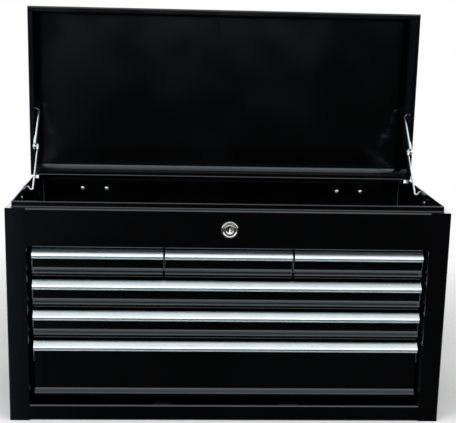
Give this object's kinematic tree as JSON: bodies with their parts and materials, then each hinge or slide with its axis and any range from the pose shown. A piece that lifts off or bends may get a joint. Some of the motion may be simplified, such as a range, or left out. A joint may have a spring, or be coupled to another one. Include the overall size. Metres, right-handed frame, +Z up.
{
  "type": "machinist tool chest",
  "caption": "Gloss black steel tool chest with a lift-up lid over a till, drawers on ball slides behind silver pulls, a key lock and wire lid stays.",
  "frame": {"origin": "centre of the chest's footprint on the surface it stands on", "axes": "+Z up, the drawers' fronts face -Y, +X to the right as seen from the front"},
  "size_m": [0.635, 0.3157, 0.5704],
  "materials": {
    "black_paint": "gloss",
    "pull_silver": "satin",
    "lock_chrome": "polished",
    "stay_wire": "bright zinc plate",
    "fastener_zinc": "zinc plate",
    "handle_zinc": "zinc plate",
    "slide_steel": "zinc plate",
    "cage_zinc": "zinc plate"
  },
  "bodies": {
    "case": {"side_panel_left": "black_paint", "side_panel_right": "black_paint", "back_panel": "black_paint", "bottom_pan": "black_paint", "lock_panel": "black_paint", "till_floor": "black_paint", "divider_left": "black_paint", "divider_right": "black_paint", "rear_uprights": "black_paint", "case_rivets": "fastener_zinc", "hinge_case_leaves": "fastener_zinc", "hinge_pins": "fastener_zinc", "lock_housing": "lock_chrome", "lock_nut": "fastener_zinc", "handle_plates": "black_paint", "slide_rails_left": "slide_steel", "slide_rails_right": "slide_steel", "slide_rails_middle": "slide_steel"},
    "lid": {"lid_shell": "black_paint", "lid_strike": "black_paint", "lid_bushes": "fastener_zinc", "hinge_lid_leaves": "fastener_zinc", "hinge_lid_rivets": "fastener_zinc"},
    "lock_barrel": {"lock_plug": "lock_chrome", "lock_cam": "fastener_zinc"},
    "drawer_lock": {"drawer_lock_bar": "black_paint"},
    "stay_lower_left": {"stay_lower_left": "stay_wire"},
    "stay_upper_left": {"stay_upper_left": "stay_wire", "stay_rivet_left": "stay_wire", "stay_sleeve_left": "stay_wire"},
    "stay_lower_right": {"stay_lower_right": "stay_wire"},
    "stay_upper_right": {"stay_upper_right": "stay_wire", "stay_rivet_right": "stay_wire", "stay_sleeve_right": "stay_wire"},
    "handle_left": {"handle_bail_left": "handle_zinc"},
    "handle_right": {"handle_bail_right": "handle_zinc"},
    "drawer_top_left": {"drawer_top_left": "black_paint", "pull_top_left": "pull_silver", "runners_top_left": "slide_steel"},
    "cages_top_left": {"ball_cages_top_left": "cage_zinc"},
    "drawer_top_middle": {"drawer_top_middle": "black_paint", "pull_top_middle": "pull_silver", "runners_top_middle": "slide_steel"},
    "cages_top_middle": {"ball_cages_top_middle": "cage_zinc"},
    "drawer_top_right": {"drawer_top_right": "black_paint", "pull_top_right": "pull_silver", "runners_top_right": "slide_steel"},
    "cages_top_right": {"ball_cages_top_right": "cage_zinc"},
    "drawer_second": {"drawer_second": "black_paint", "pull_second": "pull_silver", "runners_second": "slide_steel"},
    "cages_second": {"ball_cages_second": "cage_zinc"},
    "drawer_third": {"drawer_third": "black_paint", "pull_third": "pull_silver", "runners_third": "slide_steel"},
    "cages_third": {"ball_cages_third": "cage_zinc"},
    "drawer_bottom": {"drawer_bottom": "black_paint", "pull_bottom": "pull_silver", "runners_bottom": "slide_steel"},
    "cages_bottom": {"ball_cages_bottom": "cage_zinc"}
  },
  "joints": [
    {"name": "lid_hinge", "type": "hinge", "parent": "case", "child": "lid", "pos_m": [0, 0.1334, 0.305], "axis": [1, 0, 0], "range_deg": [0, 90]},
    {"name": "lock_turn", "type": "hinge", "parent": "case", "child": "lock_barrel", "pos_m": [0, -0.12, 0.278], "axis": [0, 1, 0], "range_deg": [0, 90]},
    {"name": "drawer_lock_drop", "type": "slide", "parent": "case", "child": "drawer_lock", "axis": [0, 0, 1], "range_m": [-0.005, 0]},
    {"name": "stay_case_pivot_left", "type": "hinge", "parent": "case", "child": "stay_lower_left", "pos_m": [-0.286, 0.019, 0.309], "axis": [1, 0, 0], "range_deg": [-74.57, 0]},
    {"name": "stay_lid_pivot_left", "type": "hinge", "parent": "lid", "child": "stay_upper_left", "pos_m": [-0.291, 0.1454, 0.413], "axis": [1, 0, 0], "range_deg": [0, 8.35]},
    {"name": "stay_case_pivot_right", "type": "hinge", "parent": "case", "child": "stay_lower_right", "pos_m": [0.286, 0.019, 0.309], "axis": [1, 0, 0], "range_deg": [-74.57, 0]},
    {"name": "stay_lid_pivot_right", "type": "hinge", "parent": "lid", "child": "stay_upper_right", "pos_m": [0.291, 0.1454, 0.413], "axis": [1, 0, 0], "range_deg": [0, 8.35]},
    {"name": "handle_swing_left", "type": "hinge", "parent": "case", "child": "handle_left", "pos_m": [-0.3115, 0, 0.284], "axis": [0, 1, 0], "range_deg": [0, 90]},
    {"name": "handle_swing_right", "type": "hinge", "parent": "case", "child": "handle_right", "pos_m": [0.3115, 0, 0.284], "axis": [0, -1, 0], "range_deg": [0, 90]},
    {"name": "drawer_slide_top_left", "type": "slide", "parent": "case", "child": "drawer_top_left", "axis": [0, -1, 0], "range_m": [0, 0.18]},
    {"name": "cage_roll_top_left", "type": "slide", "parent": "case", "child": "cages_top_left", "axis": [0, -1, 0], "range_m": [0, 0.09]},
    {"name": "drawer_slide_top_middle", "type": "slide", "parent": "case", "child": "drawer_top_middle", "axis": [0, -1, 0], "range_m": [0, 0.18]},
    {"name": "cage_roll_top_middle", "type": "slide", "parent": "case", "child": "cages_top_middle", "axis": [0, -1, 0], "range_m": [0, 0.09]},
    {"name": "drawer_slide_top_right", "type": "slide", "parent": "case", "child": "drawer_top_right", "axis": [0, -1, 0], "range_m": [0, 0.18]},
    {"name": "cage_roll_top_right", "type": "slide", "parent": "case", "child": "cages_top_right", "axis": [0, -1, 0], "range_m": [0, 0.09]},
    {"name": "drawer_slide_second", "type": "slide", "parent": "case", "child": "drawer_second", "axis": [0, -1, 0], "range_m": [0, 0.18]},
    {"name": "cage_roll_second", "type": "slide", "parent": "case", "child": "cages_second", "axis": [0, -1, 0], "range_m": [0, 0.09]},
    {"name": "drawer_slide_third", "type": "slide", "parent": "case", "child": "drawer_third", "axis": [0, -1, 0], "range_m": [0, 0.18]},
    {"name": "cage_roll_third", "type": "slide", "parent": "case", "child": "cages_third", "axis": [0, -1, 0], "range_m": [0, 0.09]},
    {"name": "drawer_slide_bottom", "type": "slide", "parent": "case", "child": "drawer_bottom", "axis": [0, -1, 0], "range_m": [0, 0.18]},
    {"name": "cage_roll_bottom", "type": "slide", "parent": "case", "child": "cages_bottom", "axis": [0, -1, 0], "range_m": [0, 0.09]}
  ],
  "couplings": [
    {"joint": "drawer_lock_drop", "follows": "lid_hinge", "m_per_rad": -0.0031767},
    {"joint": "stay_case_pivot_left", "follows": "lid_hinge", "ratio": -0.82798},
    {"joint": "stay_lid_pivot_left", "follows": "lid_hinge", "ratio": 0.092274},
    {"joint": "stay_case_pivot_right", "follows": "lid_hinge", "ratio": -0.82798},
    {"joint": "stay_lid_pivot_right", "follows": "lid_hinge", "ratio": 0.092274},
    {"joint": "cage_roll_top_left", "follows": "drawer_slide_top_left", "ratio": 0.5},
    {"joint": "cage_roll_top_middle", "follows": "drawer_slide_top_middle", "ratio": 0.5},
    {"joint": "cage_roll_top_right", "follows": "drawer_slide_top_right", "ratio": 0.5},
    {"joint": "cage_roll_second", "follows": "drawer_slide_second", "ratio": 0.5},
    {"joint": "cage_roll_third", "follows": "drawer_slide_third", "ratio": 0.5},
    {"joint": "cage_roll_bottom", "follows": "drawer_slide_bottom", "ratio": 0.5}
  ]
}
